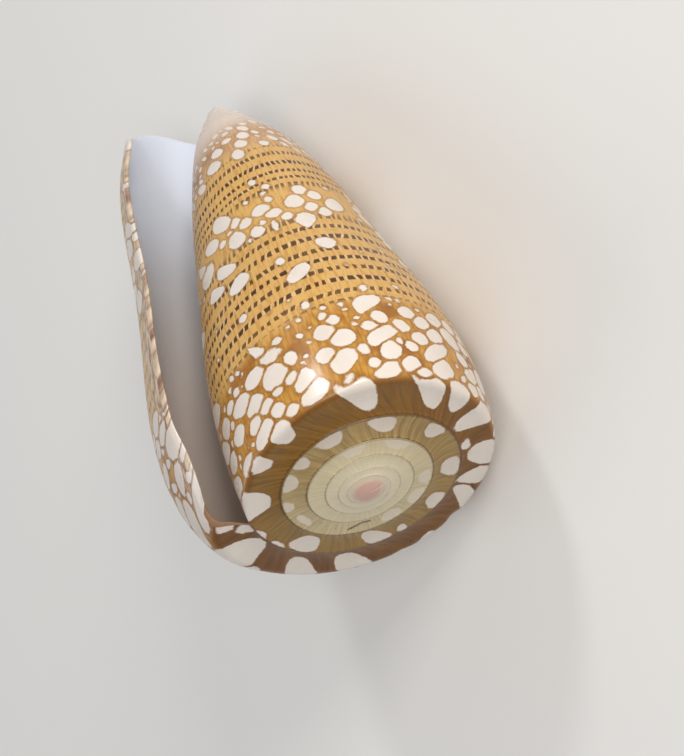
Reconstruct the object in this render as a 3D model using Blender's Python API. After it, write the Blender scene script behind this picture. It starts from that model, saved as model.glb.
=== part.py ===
"""A cone shell, lying on its back with the aperture up.

The whole shell is one grown wall, so it is one object. Its wall is wound about the coiling axis:
turns are counted back from the lip, so turn 0 is the lip, turn 1 is the body that faces it and
turn 5 is in the nucleus. Lengths are in metres and the apex of the unturned shell is at +Z.
"""
import math

import bmesh
import bpy
import numpy as np
from mathutils import Matrix, Vector

MM = 0.001

# Driving sizes of the shell
SHOULDER_RADIUS = 17.0 * MM
BODY_LENGTH = 59.3 * MM
SPIRE_HEIGHT = 2.72 * MM
WHORL_EXPANSION = 1.43
SPIRE_CURVE = 0.705
SPIRE_WHORLS = 4

# Wall
WALL = 1.9 * MM
LIP_EDGE = 0.5 * MM
RAMP_WALL = 1.8 * MM
RAMP_DISH = 0.25 * MM
LIP_THICKENS_OVER = 0.05
FRONT_THICKENS = 0.8
WALL_SHARE_OF_GAP = 0.5
BODY_CHAMBER_TURNS = 0.72

# Lie of the shell on its back, in degrees: turn about its own axis, then tip from upright
TURN_ABOUT_AXIS = -52.2
AXIS_TIP = 79.9

# Depth to which the belly is flat where it touches the floor, so that the round shell lies still
BELLY_FLAT = 0.45 * MM

# Fineness of the loft
ROWS_PER_TURN = 64
SIDE_STEPS = 18
SIDE_CROWDING = 1.15
RAMP_STEPS = 3

SHELL_COLOUR = (0.62, 0.42, 0.18, 1.0)
SHELL_ROUGHNESS = 0.25

# How the shoulder's radius departs from an even spiral, by turns back from the lip
SHOULDER_TURNS = (-0.08, -0.03, 0.03, 0.10, 0.25, 0.40, 0.55, 0.70, 0.85, 1.00)
SHOULDER_SWELL = (-0.182, -0.115, -0.024, -0.025, -0.02, -0.04, -0.02, 0.04, -0.005, 0.0)

# How far the side has drawn in towards the axis, from the shoulder (0) to the front end (1)
SIDE_PLACES = (0.0, 0.08, 0.25, 0.5, 0.75, 0.9, 1.0)
SIDE_DRAWN_IN = (0.0, -0.014, 0.029, 0.248, 0.507, 0.742, 1.0)

# Radius left at the front end as a share of the shoulder's, by turns back from the lip
FRONT_TURNS = (-0.12, -0.04, 0.04, 0.15, 0.30, 0.60, 1.00)
FRONT_RADIUS = (0.74, 0.65, 0.59, 0.55, 0.412, 0.22, 0.045)

# Length of the wall's front edge as a share of the body's length
EDGE_TURNS = (-0.12, -0.05, 0.02, 0.10, 0.20, 0.32, 0.45, 0.70, 0.97)
EDGE_REACH = (0.796, 0.901, 0.993, 1.05, 1.0, 0.91, 0.865, 0.90, 0.947)

# Turns that the lip's edge stands ahead of the plane through the axis, along the side
LIP_PLACES = (0.0, 0.05, 0.2, 0.45, 0.7, 0.9, 1.0)
LIP_AHEAD = (0.014, 0.051, 0.069, 0.066, 0.066, 0.056, 0.044)
LIP_FADES = 4

# The side stands proud below the shoulder near the lip
PROUD_SHARE = 0.183
PROUD_PLACE = 0.231
PROUD_TURNS = 0.5
PROUD_START = 0.05

# The lip flares out a little behind its front corner
FLARE_SHARE = 0.07
FLARE_PLACE = 0.85
FLARE_WIDTH = 0.214


def smooth(places, values, at):
    """A smooth curve through the values, level past both ends."""
    places = np.asarray(places, float)
    values = np.asarray(values, float)
    step = np.diff(places)
    slope = np.diff(values) / step
    lean = np.empty_like(values)
    lean[1:-1] = (slope[:-1] * step[1:] + slope[1:] * step[:-1]) / (step[:-1] + step[1:])
    lean[0] = slope[0]
    lean[-1] = slope[-1]
    at = min(max(at, places[0]), places[-1])
    i = min(max(int(np.searchsorted(places, at, side="right")) - 1, 0), len(step) - 1)
    t = (at - places[i]) / step[i]
    start = (2 * t**3 - 3 * t**2 + 1) * values[i] + (t**3 - 2 * t**2 + t) * lean[i] * step[i]
    end = (3 * t**2 - 2 * t**3) * values[i + 1] + (t**3 - t**2) * lean[i + 1] * step[i]
    return float(start + end)


def shoulder_radius(turn):
    swell = smooth(SHOULDER_TURNS, SHOULDER_SWELL, turn)
    return SHOULDER_RADIUS * WHORL_EXPANSION**-turn * (1 + swell)


def shoulder_height(turn):
    return SPIRE_HEIGHT * (1 - WHORL_EXPANSION**(-turn * SPIRE_CURVE))


def around(turn, radius, height):
    """A point of the shell by its turn, its distance from the axis and its height on it."""
    angle = math.pi + math.tau * turn
    return Vector((radius * math.cos(angle), radius * math.sin(angle), height))


def side_profile(turn, place):
    """Radius and height of the outer side, place 0 at the shoulder and 1 at the front end."""
    left = smooth(FRONT_TURNS, FRONT_RADIUS, turn)
    drawn_in = (1 - left) * smooth(SIDE_PLACES, SIDE_DRAWN_IN, place)
    fade = math.exp(-(max(turn + PROUD_START, 0.0) / PROUD_TURNS)**2)
    proud = PROUD_SHARE * fade * place / PROUD_PLACE * math.exp(1 - place / PROUD_PLACE)
    proud += FLARE_SHARE * fade * math.exp(-((place - FLARE_PLACE) / FLARE_WIDTH)**2)
    top = shoulder_height(turn)
    reach = BODY_LENGTH * smooth(EDGE_TURNS, EDGE_REACH, turn)
    return shoulder_radius(turn) * (1 - drawn_in + proud), top - place * (top + reach)


def growth_turn(turn, place):
    """Turn of a growth line: the lip's own line at turn 0, a plane through the axis by turn 1."""
    return turn - smooth(LIP_PLACES, LIP_AHEAD, place) * (1 - turn)**LIP_FADES


def side_point(turn, place):
    bent = growth_turn(turn, place)
    return around(bent, *side_profile(bent, place))


def inner_point(turn, place):
    """The inner face of the wall, which never reaches more than part of the way to the body."""
    bent = growth_turn(turn, place)
    radius, height = side_profile(bent, place)
    gap = radius - side_profile(bent + 1, place)[0]
    front = thickness((1 - place) * FRONT_THICKENS, LIP_EDGE, WALL)
    wall = min(thickness(turn, LIP_EDGE, front), WALL_SHARE_OF_GAP * gap)
    return around(bent, radius - wall, height)


def shoulder_point(turn):
    if turn < 1:
        return side_point(turn, 0.0)
    return around(turn, shoulder_radius(turn), shoulder_height(turn))


def thickness(turn, edge, full):
    """The wall's thickness, from its thin edge at the lip to its full size behind it."""
    return edge + (full - edge) * (1 - math.exp(-turn / LIP_THICKENS_OVER))


def side_places(turn):
    """Places of the points down a side, closer together near the shoulder."""
    start = thickness(turn, LIP_EDGE, RAMP_WALL) / BODY_LENGTH
    steps = [(k / SIDE_STEPS)**SIDE_CROWDING for k in range(SIDE_STEPS + 1)]
    return [start + (1 - start) * step for step in steps]


def skin(mesh, first, second):
    """Faces between two rows of points that run side by side."""
    for a in range(len(first) - 1):
        corners = []
        for vert in (first[a], first[a + 1], second[a + 1], second[a]):
            if vert not in corners:
                corners.append(vert)
        if len(corners) > 2:
            mesh.faces.new(corners)


def between(mesh, start, end, dish=0.0):
    """Points of a ramp from one corner to the other, which sinks by the dish in its middle."""
    points = []
    for k in range(1, RAMP_STEPS):
        share = k / RAMP_STEPS
        sunk = Vector((0.0, 0.0, 4 * dish * share * (1 - share)))
        points.append(mesh.verts.new(start.co.lerp(end.co, share) - sunk))
    return points


def build_shell(mesh):
    turns = [i / ROWS_PER_TURN for i in range(ROWS_PER_TURN)]
    chamber = round(BODY_CHAMBER_TURNS * ROWS_PER_TURN)
    places = side_places(0.0)

    # Spiral of the shoulder, which is the suture too from the second turn on
    spiral = [mesh.verts.new(shoulder_point(i / ROWS_PER_TURN))
              for i in range((SPIRE_WHORLS + 1) * ROWS_PER_TURN + 1)]

    # Outer side of the last turn, which closes on the body side that the lip faces
    outer = [[spiral[i]] + [mesh.verts.new(side_point(turn, place)) for place in places]
             for i, turn in enumerate(turns)]
    body = [[mesh.verts.new(side_point(1.0, place)) for place in places]]
    outer.append([spiral[ROWS_PER_TURN]] + body[0])
    for first, second in zip(outer, outer[1:]):
        skin(mesh, first, second)

    # Body side inside the aperture, and the inner face of the wall opposite it
    for i in range(1, chamber + 1):
        turn = 1 + turns[i]
        body.append([mesh.verts.new(around(turn, *side_profile(turn, place)))
                     for place in side_places(turns[i])])
    inner = []
    for i in range(chamber + 1):
        wall = [mesh.verts.new(inner_point(turns[i], place)) for place in side_places(turns[i])]
        inner.append([body[i][0]] + between(mesh, body[i][0], wall[0]) + wall)
    for i in range(chamber):
        skin(mesh, body[i], body[i + 1])
        skin(mesh, inner[i], inner[i + 1])
        skin(mesh, (outer[i][-1], outer[i + 1][-1]), (inner[i][-1], inner[i + 1][-1]))

    # Ramps from each shoulder up to the suture, out to the lip, with the side's growth lines
    ramps = []
    for i in range(SPIRE_WHORLS * ROWS_PER_TURN + 1):
        suture = spiral[i + ROWS_PER_TURN]
        dish = RAMP_DISH * WHORL_EXPANSION**(-i / ROWS_PER_TURN)
        ramps.append([suture] + between(mesh, suture, spiral[i], dish) + [spiral[i]])
    for first, second in zip(ramps, ramps[1:]):
        skin(mesh, first, second)

    # Lip: its edge joins the outer and the inner face from the suture to the front end
    corner = RAMP_STEPS
    skin(mesh, ramps[0] + outer[0][1:], inner[0][:corner + 1] + inner[0][corner:])

    # End of the body chamber, then the front end closes on the tip of the columella
    last = inner[chamber]
    skin(mesh, last[RAMP_STEPS:], body[chamber])
    mesh.faces.new(last[:RAMP_STEPS + 1])
    tip_height = -BODY_LENGTH * EDGE_REACH[-1] - LIP_EDGE
    tip = mesh.verts.new((0.0, 0.0, tip_height))
    ring = [row[-1] for row in outer[chamber:]] + [row[-1] for row in body[1:]]
    skin(mesh, ring, [tip] * len(ring))
    mesh.faces.new((tip, outer[chamber][-1], inner[chamber][-1], body[chamber][-1]))

    # Nucleus of the spire
    apex = mesh.verts.new((0.0, 0.0, SPIRE_HEIGHT))
    nucleus = spiral[SPIRE_WHORLS * ROWS_PER_TURN:]
    skin(mesh, nucleus, [apex] * len(nucleus))
    mesh.faces.new([apex] + ramps[-1])


def lay_down(mesh):
    """Turns the shell to the side it lies on, flattens that, and sets it on the floor."""
    lie = Matrix.Rotation(math.radians(AXIS_TIP), 4, "X")
    lie = lie @ Matrix.Rotation(math.radians(TURN_ABOUT_AXIS), 4, "Z")
    bmesh.ops.transform(mesh, matrix=lie, verts=mesh.verts)
    flat = min(vert.co.z for vert in mesh.verts) + BELLY_FLAT
    for vert in mesh.verts:
        vert.co.z = max(vert.co.z, flat)
    low = [min(vert.co[axis] for vert in mesh.verts) for axis in range(3)]
    high = [max(vert.co[axis] for vert in mesh.verts) for axis in range(3)]
    middle = [(low[axis] + high[axis]) / 2 for axis in range(2)]
    bmesh.ops.translate(mesh, vec=(-middle[0], -middle[1], -low[2]), verts=mesh.verts)


def shell_material():
    material = bpy.data.materials.new("polished_shell")
    material.use_nodes = True
    surface = material.node_tree.nodes["Principled BSDF"]
    surface.inputs["Base Color"].default_value = SHELL_COLOUR
    surface.inputs["Roughness"].default_value = SHELL_ROUGHNESS
    surface.inputs["Metallic"].default_value = 0.0
    return material


for old in list(bpy.data.objects):
    bpy.data.objects.remove(old, do_unlink=True)

collection = bpy.data.collections.new("cone_shell")
bpy.context.scene.collection.children.link(collection)
shell_mesh = bpy.data.meshes.new("shell")
draft = bmesh.new()
build_shell(draft)
lay_down(draft)
bmesh.ops.triangulate(draft, faces=draft.faces)
bmesh.ops.recalc_face_normals(draft, faces=draft.faces)
draft.to_mesh(shell_mesh)
draft.free()
shell_mesh.materials.append(shell_material())
shell_mesh.shade_smooth()
collection.objects.link(bpy.data.objects.new("shell", shell_mesh))
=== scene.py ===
import math

import bmesh
import bpy
import numpy as np
from mathutils import Matrix, Vector


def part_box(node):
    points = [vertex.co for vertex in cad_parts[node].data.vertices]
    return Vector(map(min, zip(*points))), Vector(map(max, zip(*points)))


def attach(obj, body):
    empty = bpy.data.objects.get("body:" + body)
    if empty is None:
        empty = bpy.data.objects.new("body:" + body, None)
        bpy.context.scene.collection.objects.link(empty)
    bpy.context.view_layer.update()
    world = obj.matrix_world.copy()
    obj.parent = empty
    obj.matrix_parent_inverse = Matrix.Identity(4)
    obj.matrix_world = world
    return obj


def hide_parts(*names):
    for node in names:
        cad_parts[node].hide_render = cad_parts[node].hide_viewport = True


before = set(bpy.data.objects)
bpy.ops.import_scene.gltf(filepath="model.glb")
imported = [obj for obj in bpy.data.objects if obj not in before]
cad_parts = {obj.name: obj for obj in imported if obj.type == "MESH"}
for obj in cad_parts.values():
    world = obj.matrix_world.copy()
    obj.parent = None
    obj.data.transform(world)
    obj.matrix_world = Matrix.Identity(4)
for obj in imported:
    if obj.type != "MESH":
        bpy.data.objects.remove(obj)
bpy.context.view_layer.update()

MM = 0.001

# Camera: stands above the spire's side and looks down along the shell, rolled so that the front
# end points up and to the left in the picture.
CAMERA_PLACE = (133.92 * MM, -130.86 * MM, 129.57 * MM)
LOOKS_TOWARDS = -49.22
LOOKS_DOWN = 33.93
CAMERA_ROLL = -96.27
LENS = 97.5
SENSOR = 36.0

camera_data = bpy.data.cameras.new("camera")
camera_data.lens = LENS
camera_data.sensor_width = SENSOR
camera_data.clip_start = 5 * MM
camera_data.clip_end = 5.0
camera = bpy.data.objects.new("camera", camera_data)
bpy.context.scene.collection.objects.link(camera)
aim = Matrix.Rotation(math.radians(-LOOKS_TOWARDS), 4, "Z")
aim = aim @ Matrix.Rotation(math.radians(90 - LOOKS_DOWN), 4, "X")
aim = aim @ Matrix.Rotation(math.radians(CAMERA_ROLL), 4, "Z")
camera.matrix_world = Matrix.Translation(CAMERA_PLACE) @ aim
bpy.context.scene.camera = camera


def linear(code):
    """Linear colour of an sRGB hex code."""
    parts = [int(code[i:i + 2], 16) / 255 for i in (1, 3, 5)]
    return [p / 12.92 if p <= 0.04045 else ((p + 0.055) / 1.055)**2.4 for p in parts] + [1.0]


def node(tree, kind, settings=None, **links):
    """Adds a node, sets its properties and fills its sockets with values, sockets or nodes."""
    made = tree.nodes.new(kind)
    for name, value in (settings or {}).items():
        setattr(made, name, value)
    for name, value in links.items():
        socket = made.inputs[int(name[1:])] if name[1:].isdigit() else made.inputs[name.replace("_", " ")]
        if isinstance(value, bpy.types.Node):
            value = value.outputs[0]
        if isinstance(value, bpy.types.NodeSocket):
            tree.links.new(value, socket)
        else:
            socket.default_value = value
    return made


def calc(tree, operation, *values):
    """A step of arithmetic on one to three values."""
    return node(tree, "ShaderNodeMath", {"operation": operation},
                **{f"_{k}": value for k, value in enumerate(values)})


def blend(tree, share, first, second):
    """The colour that lies between two others by a share."""
    return node(tree, "ShaderNodeMix", {"data_type": "RGBA"}, _0=share, _6=first, _7=second).outputs[2]


def soft_step(tree, value, start, end, most=1.0):
    """Runs smoothly from nought at the start to its most at the end."""
    return node(tree, "ShaderNodeMapRange", {"interpolation_type": "SMOOTHSTEP"}, Value=value,
                From_Min=start, From_Max=end, To_Max=most)


def tone_ramp(tree, value, tones):
    """A colour ramp with its stops, each a place from 0 to 1 and an sRGB hex code."""
    ramp = node(tree, "ShaderNodeValToRGB", _0=value)
    stops = ramp.color_ramp.elements
    while len(stops) < len(tones):
        stops.new(0.5)
    for stop, (share, code) in zip(stops, tones):
        stop.position = share
        stop.color = linear(code)
    return ramp


# Floor: a plain pale studio sheet under the shell.
FLOOR_SIDE = 1.6
FLOOR_COLOUR = "#e6e4e0"

floor_mesh = bpy.data.meshes.new("floor")
draft = bmesh.new()
bmesh.ops.create_grid(draft, x_segments=1, y_segments=1, size=FLOOR_SIDE / 2)
draft.to_mesh(floor_mesh)
draft.free()
floor = bpy.data.objects.new("floor", floor_mesh)
bpy.context.scene.collection.objects.link(floor)
floor_material = bpy.data.materials.new("matt_paper")
floor_material.use_nodes = True
paper = floor_material.node_tree.nodes["Principled BSDF"]
paper.inputs["Base Color"].default_value = linear(FLOOR_COLOUR)
paper.inputs["Roughness"].default_value = 1.0
paper.inputs["Specular IOR Level"].default_value = 0.1
floor_mesh.materials.append(floor_material)

# Light: a small soft light over the front end, a broad one by the camera, one from the side
# that reaches into the aperture, a weak one from behind, and a pale sky.
SKY_COLOUR = "#e9ecf2"
SKY_STRENGTH = 0.38
world = bpy.data.worlds.new("studio")
bpy.context.scene.world = world
world.use_nodes = True
world.node_tree.nodes["Background"].inputs["Color"].default_value = linear(SKY_COLOUR)
world.node_tree.nodes["Background"].inputs["Strength"].default_value = SKY_STRENGTH
# A light: name, place in metres, side of its square in metres, power in watts, colour
LIGHTS = (
    ("front_softbox", (0.29, 0.31, 0.32), 0.07, 0.6, "#ffffff"),
    ("camera_softbox", (0.27, -0.29, 0.34), 0.26, 1.03, "#fffdfa"),
    ("side_softbox", (0.52, -0.04, 0.21), 0.16, 1.3, "#fffaf4"),
    ("back_softbox", (-0.42, 0.12, 0.42), 0.30, 0.6, "#ffffff"),
)
bpy.context.scene.view_settings.view_transform = "Standard"
for name, place, size, power, colour in LIGHTS:
    lamp_data = bpy.data.lights.new(name, "AREA")
    lamp_data.size = size
    lamp_data.energy = power
    lamp_data.color = linear(colour)[:3]
    lamp = bpy.data.objects.new(name, lamp_data)
    lamp.location = place
    lamp.rotation_mode = "QUATERNION"
    lamp.rotation_quaternion = (-Vector(place)).to_track_quat("-Z", "Y")
    bpy.context.scene.collection.objects.link(lamp)

# Shell: one grown wall of aragonite wound about the coiling axis, with a flat stepped spire,
# an angled shoulder and a long slit aperture. Turns are counted back from the lip: 0 is the
# lip, 1 is the body that faces it. It is laid out as grids along the spiral, then merged.
SHOULDER_RADIUS = 17.0 * MM
BODY_LENGTH = 59.3 * MM
SPIRE_HEIGHT = 2.72 * MM
WHORL_EXPANSION = 1.43
SPIRE_CURVE = 0.705
WALL = 1.9 * MM
LIP_EDGE = 0.5 * MM
RAMP_WALL = 1.8 * MM
RAMP_DISH = 0.25 * MM
LIP_THICKENS_OVER = 0.05
CORNER_STEP = 0.25 * MM
FRONT_THICKENS = 0.8
WALL_SHARE_OF_GAP = 0.5
TURN_ABOUT_AXIS = -52.2
AXIS_TIP = 79.9
BELLY_FLAT = 0.45 * MM
SHOULDER_TURNS = (-0.08, -0.03, 0.03, 0.10, 0.25, 0.40, 0.55, 0.70, 0.85, 1.00)
SHOULDER_SWELL = (-0.182, -0.115, -0.024, -0.025, -0.02, -0.04, -0.02, 0.04, -0.005, 0.0)
SIDE_PLACES = (0.0, 0.08, 0.25, 0.5, 0.75, 0.9, 1.0)
SIDE_DRAWN_IN = (0.0, -0.014, 0.029, 0.248, 0.507, 0.742, 1.0)
FRONT_TURNS = (-0.12, -0.04, 0.04, 0.15, 0.30, 0.60, 1.00)
FRONT_RADIUS = (0.74, 0.65, 0.59, 0.55, 0.412, 0.22, 0.045)
EDGE_TURNS = (-0.12, -0.05, 0.02, 0.10, 0.20, 0.32, 0.45, 0.70, 0.97)
EDGE_REACH = (0.796, 0.901, 0.993, 1.05, 1.0, 0.91, 0.865, 0.90, 0.947)
LIP_PLACES = (0.0, 0.05, 0.2, 0.45, 0.7, 0.9, 1.0)
LIP_AHEAD = (0.014, 0.051, 0.069, 0.066, 0.066, 0.056, 0.044)
LIP_FADES = 4
PROUD_SHARE = 0.183
PROUD_PLACE = 0.231
PROUD_TURNS = 0.5
PROUD_START = 0.05
FLARE_SHARE = 0.07
FLARE_PLACE = 0.85
FLARE_WIDTH = 0.214

# Finer form that only the mesh has: a rounded shoulder, a small step at each suture, and a dent
# at the shoulder where the growing lip was once broken and healed
SHOULDER_ROUND = 0.9 * MM
SUTURE_STEP = 0.25 * MM
RISER_ROUND = 0.6
SIDE_STARTS = 1.2 * MM
SHOULDER_SETTLES = 0.1
SCAR_TURN = 0.326
SCAR_WIDTH = 0.010
SCAR_DEPTH = 0.38 * MM
SCAR_REACH = 0.08

# Fineness of the grids
ROWS_PER_TURN = 288
SPIRE_TURNS = 6.5
CHAMBER_TURNS = 0.5
RAMP_COLUMNS = 8
ROUND_COLUMNS = 4
RISER_COLUMNS = 2
RIM_COLUMNS = 4
SIDE_COLUMNS = 108
SIDE_CROWDING = 1.1
TIP_COLUMNS = 5
MERGE = 0.004 * MM

# Nucleus: the smooth first whorl, a low dome, worn even by steps of smoothing
NUCLEUS_TURN = 7.5
NUCLEUS_RADIUS = 1.62 * MM
NUCLEUS_DOME = 0.28 * MM
NUCLEUS_RINGS = 4
NUCLEUS_WEAR = 1.9 * MM
NUCLEUS_POLISH = 30


def smooth(places, values, at):
    """A smooth curve through the values, level past both ends."""
    places = np.asarray(places, float)
    values = np.asarray(values, float)
    step = np.diff(places)
    slope = np.diff(values) / step
    lean = np.empty_like(values)
    lean[1:-1] = (slope[:-1] * step[1:] + slope[1:] * step[:-1]) / (step[:-1] + step[1:])
    lean[0] = slope[0]
    lean[-1] = slope[-1]
    at = np.clip(at, places[0], places[-1])
    i = np.clip(np.searchsorted(places, at, side="right") - 1, 0, len(step) - 1)
    t = (at - places[i]) / step[i]
    start = (2 * t**3 - 3 * t**2 + 1) * values[i] + (t**3 - 2 * t**2 + t) * lean[i] * step[i]
    end = (3 * t**2 - 2 * t**3) * values[i + 1] + (t**3 - t**2) * lean[i + 1] * step[i]
    return start + end


def ease(x):
    x = np.clip(x, 0.0, 1.0)
    return x * x * (3 - 2 * x)


def lerp(a, b, share):
    return a + (b - a) * np.asarray(share)[..., None]


def around(turn, radius, height):
    """Points of the shell by their turn, their distance from the axis and their height on it."""
    angle = math.pi + math.tau * turn
    return np.stack((radius * np.cos(angle), radius * np.sin(angle), height + 0 * angle), -1)


def shoulder_radius(turn):
    return SHOULDER_RADIUS * WHORL_EXPANSION**-turn * (1 + smooth(SHOULDER_TURNS, SHOULDER_SWELL, turn))


def shoulder_height(turn):
    return SPIRE_HEIGHT * (1 - WHORL_EXPANSION**(-turn * SPIRE_CURVE))


def side_profile(turn, place):
    """Radius and height of the outer side, place 0 at the shoulder and 1 at the front end."""
    left = smooth(FRONT_TURNS, FRONT_RADIUS, turn)
    drawn_in = (1 - left) * smooth(SIDE_PLACES, SIDE_DRAWN_IN, place)
    fade = np.exp(-(np.maximum(turn + PROUD_START, 0.0) / PROUD_TURNS)**2)
    proud = PROUD_SHARE * fade * place / PROUD_PLACE * np.exp(1 - place / PROUD_PLACE)
    proud = proud + FLARE_SHARE * fade * np.exp(-((place - FLARE_PLACE) / FLARE_WIDTH)**2)
    top = shoulder_height(turn)
    reach = BODY_LENGTH * smooth(EDGE_TURNS, EDGE_REACH, turn)
    scar = SCAR_DEPTH * np.exp(-((turn - SCAR_TURN) / SCAR_WIDTH)**2 - place / SCAR_REACH)
    return shoulder_radius(turn) * (1 - drawn_in + proud) - scar, top - place * (top + reach)


def growth_turn(turn, place):
    """Turn of a growth line: the lip's own line at turn 0, a plane through the axis by turn 1."""
    return turn - smooth(LIP_PLACES, LIP_AHEAD, place) * (1 - np.minimum(turn, 1.0))**LIP_FADES


def side_point(turn, place):
    bent = growth_turn(turn, place)
    return around(bent, *side_profile(bent, place))


def thickness(turn, edge, full):
    """The wall's thickness, from its thin edge at the lip to its full size behind it."""
    return edge + (full - edge) * (1 - np.exp(-turn / LIP_THICKENS_OVER))


def inner_point(turn, place):
    """The inner face of the wall, which never reaches more than part of the way to the body."""
    bent = growth_turn(turn, place)
    radius, height = side_profile(bent, place)
    gap = radius - side_profile(bent + 1, place)[0]
    front = thickness((1 - place) * FRONT_THICKENS, LIP_EDGE, WALL)
    wall = np.minimum(thickness(turn, LIP_EDGE, front), WALL_SHARE_OF_GAP * gap)
    return around(bent, radius - wall, height)


def settle(turn, free, covered):
    """A size of the free shoulder, which turns into that of a covered one at turn 1."""
    covered = covered * WHORL_EXPANSION**-np.maximum(turn - 1, 0.0)
    return free + (covered - free) * ease((turn - 1 + SHOULDER_SETTLES) / SHOULDER_SETTLES)


def side_start(turn):
    """Place where the ramp's grid ends and the side's begins: at the suture from turn 1 on."""
    return settle(turn, SIDE_STARTS, SUTURE_STEP) / BODY_LENGTH


def inner_start(turn):
    return thickness(turn, LIP_EDGE, RAMP_WALL) / BODY_LENGTH


def ramp_section(turn, step):
    """The ramp from the suture outwards, round the shoulder and a little way down the side."""
    suture = side_point(turn + 1, side_start(turn + 1))
    corner = side_point(turn, 0 * turn)
    width = np.linalg.norm(corner - suture, axis=-1)
    bend = settle(turn, SHOULDER_ROUND, RISER_ROUND * SUTURE_STEP)
    flat = 1 - bend / width
    share = np.minimum(step / RAMP_COLUMNS, 1.0) * flat
    dish = 4 * RAMP_DISH * WHORL_EXPANSION**-turn * share * (1 - share)
    ramp = lerp(suture, corner, share)
    ramp[..., 2] -= dish
    dip = 4 * RAMP_DISH * WHORL_EXPANSION**-turn * flat * (1 - flat)
    start = lerp(suture, corner, flat)
    start[..., 2] -= dip
    end = side_point(turn, bend / BODY_LENGTH)
    q = np.clip((step - RAMP_COLUMNS) / ROUND_COLUMNS, 0.0, 1.0)[..., None]
    bow = start * (1 - q)**2 + corner * 2 * q * (1 - q) + end * q**2
    down = np.clip((step - RAMP_COLUMNS - ROUND_COLUMNS) / RISER_COLUMNS, 0.0, 1.0)
    place = bend / BODY_LENGTH + (side_start(turn) - bend / BODY_LENGTH) * down
    riser = side_point(turn, place)
    step = step[..., None]
    point = np.where(step <= RAMP_COLUMNS, ramp, bow)
    point = np.where(step > RAMP_COLUMNS + ROUND_COLUMNS, riser, point)
    far = -width / MM * (1 - share)
    far = np.where(step[..., 0] > RAMP_COLUMNS, (2 * q[..., 0] - 1) * bend / MM, far)
    far = np.where(step[..., 0] > RAMP_COLUMNS + ROUND_COLUMNS, place * BODY_LENGTH / MM, far)
    return point, far


def crowded(steps, start):
    """Places down a side from its start to the front end, closer together near the shoulder."""
    return start + (1 - start) * (steps / SIDE_COLUMNS)**SIDE_CROWDING


def side_place(turn, step):
    """Place of a step down the free side, whose first steps fit the lip's edge at turn 1."""
    start = side_start(turn)
    after = start + (LIP_EDGE - SUTURE_STEP) / BODY_LENGTH
    first = start + (after - start) * step / RIM_COLUMNS
    return np.where(step < RIM_COLUMNS, first, crowded(np.maximum(step - RIM_COLUMNS, 0), after))


def body_place(turn, step):
    """Place of a step down the body inside the aperture, from under the wall that covers it."""
    return crowded(step, inner_start(turn - 1))


RAMP_STEPS = RAMP_COLUMNS + ROUND_COLUMNS + RISER_COLUMNS
SIDE_STEPS = RIM_COLUMNS + SIDE_COLUMNS


def inner_section(turn, step):
    """The wall's inner face, from where it leaves the body to the front end."""
    leaves = side_point(turn + 1, inner_start(turn))
    top = inner_start(turn)
    corner = inner_point(turn, top)
    width = np.linalg.norm(corner - leaves, axis=-1)
    bend = np.minimum(SHOULDER_ROUND, width / 3)
    flat = 1 - bend / width
    under = lerp(leaves, corner, np.minimum(step / RAMP_COLUMNS, 1.0) * flat)
    q = np.clip((step - RAMP_COLUMNS) / ROUND_COLUMNS, 0.0, 1.0)[..., None]
    turned = top + bend / BODY_LENGTH
    bow = lerp(leaves, corner, flat) * (1 - q)**2 + corner * 2 * q * (1 - q)
    bow = bow + inner_point(turn, turned) * q**2
    lead = ROUND_COLUMNS + RAMP_COLUMNS
    after = turned + (RISER_COLUMNS + RIM_COLUMNS) * CORNER_STEP / BODY_LENGTH
    first = turned + (after - turned) * (step - lead) / (RISER_COLUMNS + RIM_COLUMNS)
    rest = crowded(np.maximum(step - RAMP_STEPS - RIM_COLUMNS, 0), after)
    place = np.where(step < RAMP_STEPS + RIM_COLUMNS, first, rest)
    wall = inner_point(turn, np.maximum(place, top))
    step = step[..., None]
    point = np.where(step <= RAMP_COLUMNS, under, bow)
    return np.where(step > lead, wall, point)


def sheet(mesh, rows, columns, form, kind):
    """A grid of rows along the spiral, formed by a function that gives points and marks."""
    made = bmesh.ops.create_grid(mesh, x_segments=rows, y_segments=columns, size=1.0)
    verts = made["verts"]
    flat = np.array([vert.co for vert in verts])
    i = np.rint((flat[:, 0] + 1) / 2 * rows)
    j = np.rint((flat[:, 1] + 1) / 2 * columns)
    points, turn, far = form(i, j)
    growth = mesh.loops.layers.uv["growth"]
    for vert, point, u, v in zip(verts, points, turn, far):
        vert.co = point
        for loop in vert.link_loops:
            loop[growth].uv = (u, v)
    faces = {face for vert in verts for face in vert.link_faces}
    for face in faces:
        face.material_index = kind
    return faces


def ramp_sheet(i, j):
    turn = i / ROWS_PER_TURN
    point, far = ramp_section(turn, j)
    return point, turn, far


def side_sheet(i, j):
    turn = i / ROWS_PER_TURN
    place = side_place(turn, j)
    return side_point(turn, place), turn, place * BODY_LENGTH / MM


def body_sheet(i, j):
    turn = 1 + i / ROWS_PER_TURN
    place = body_place(turn, j)
    return side_point(turn, place), turn, place * BODY_LENGTH / MM


def inner_sheet(i, j):
    turn = i / ROWS_PER_TURN
    place = np.maximum(j - RAMP_STEPS, 0) / SIDE_STEPS
    return inner_section(turn, j), turn, place * BODY_LENGTH / MM


CHAMBER_ROWS = round(CHAMBER_TURNS * ROWS_PER_TURN)
LIP_STEPS = RAMP_STEPS + SIDE_STEPS
A_LITTLE_BACK = 0.004
NEAR_THE_FRONT = 0.99
RIM_SWINGS_OVER = 12


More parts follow.
